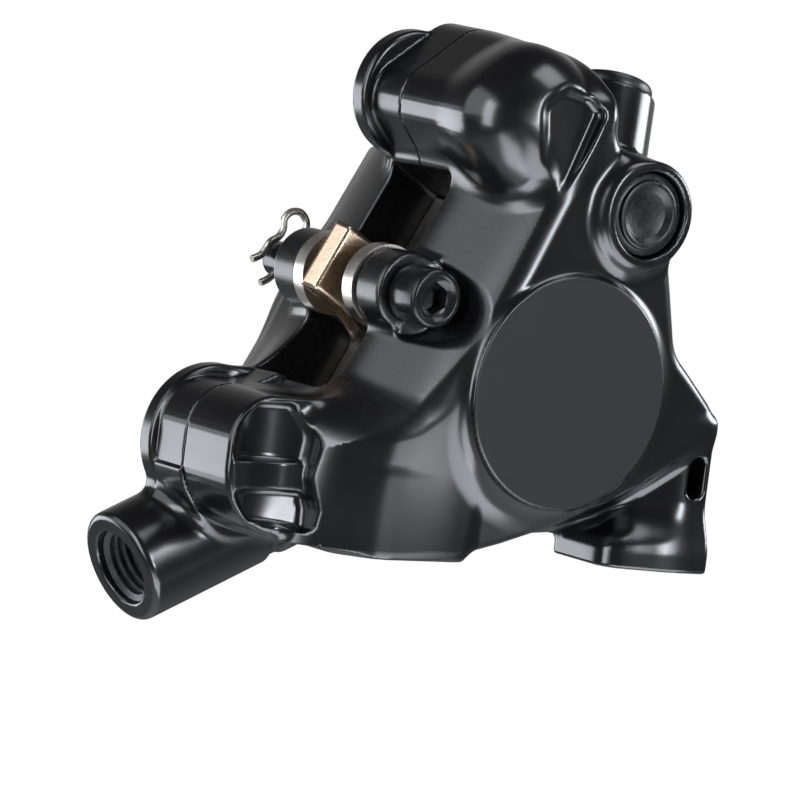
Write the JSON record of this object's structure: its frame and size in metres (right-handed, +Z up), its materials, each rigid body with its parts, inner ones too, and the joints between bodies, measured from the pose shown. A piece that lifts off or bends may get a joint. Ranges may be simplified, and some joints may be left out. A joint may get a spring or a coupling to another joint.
{
  "type": "bicycle disc brake caliper",
  "caption": "Flat mount hydraulic disc brake caliper in two bolted halves with opposed pistons, sliding pads on an axle, a leaf spring, a sloping hose port and a capped bleed valve.",
  "frame": {"origin": "midway between the two frame bolt holes, on the mount face", "axes": "+X back along the frame, +Y across the frame towards the wheel, +Z up from the mount face"},
  "size_m": [0.064, 0.0392, 0.0676],
  "materials": {
    "body_black": "gloss black over cast and machined aluminium",
    "black_steel": "black oxide",
    "rubber": "matte",
    "piston_ceramic": "ground",
    "plate_steel": "satin",
    "lining": "rough resin compound",
    "spring_bronze": "brushed"
  },
  "bodies": {
    "body": {"outboard_half": "body_black", "inboard_half": "body_black", "body_bolts": "black_steel", "crossover_seal": "rubber", "outboard_piston_seal": "rubber", "inboard_piston_seal": "rubber", "pad_spring": "spring_bronze", "pad_axle": "black_steel", "axle_clip": "plate_steel", "bleed_nipple": "black_steel"},
    "outboard_piston": {"outboard_piston": "piston_ceramic"},
    "inboard_piston": {"inboard_piston": "piston_ceramic"},
    "outboard_pad": {"outboard_pad_plate": "plate_steel", "outboard_pad_lining": "lining"},
    "inboard_pad": {"inboard_pad_plate": "plate_steel", "inboard_pad_lining": "lining"},
    "valve_screw": {"valve_screw": "black_steel", "valve_screw_seal": "rubber"},
    "valve_cap": {"valve_cap": "rubber"},
    "bleed_nipple_cap": {"bleed_nipple_cap": "rubber"}
  },
  "joints": [
    {"name": "outboard_piston_slide", "type": "slide", "parent": "body", "child": "outboard_piston", "axis": [0, 1, 0], "range_m": [0, 0.0013], "stiffness_N_per_m": 1000, "deforming": ["pad_spring"]},
    {"name": "inboard_piston_slide", "type": "slide", "parent": "body", "child": "inboard_piston", "axis": [0, -1, 0], "range_m": [0, 0.0013]},
    {"name": "outboard_pad_slide", "type": "slide", "parent": "body", "child": "outboard_pad", "axis": [0, 1, 0], "range_m": [0, 0.0013]},
    {"name": "inboard_pad_slide", "type": "slide", "parent": "body", "child": "inboard_pad", "axis": [0, -1, 0], "range_m": [0, 0.0013]},
    {"name": "valve_screw_turn", "type": "hinge", "parent": "body", "child": "valve_screw", "pos_m": [0.0063, 0, 0.0396], "axis": [0, -1, 0], "range_deg": [0, 90]},
    {"name": "valve_cap_pull", "type": "slide", "parent": "body", "child": "valve_cap", "axis": [0, -1, 0], "range_m": [0, 0.004]},
    {"name": "bleed_nipple_cap_pull", "type": "slide", "parent": "body", "child": "bleed_nipple_cap", "axis": [0.2695, 0.3195, 0.9085], "range_m": [0, 0.006]}
  ],
  "couplings": [
    {"joint": "inboard_piston_slide", "follows": "outboard_piston_slide", "ratio": 1},
    {"joint": "outboard_pad_slide", "follows": "outboard_piston_slide", "ratio": 1},
    {"joint": "inboard_pad_slide", "follows": "outboard_piston_slide", "ratio": 1}
  ]
}
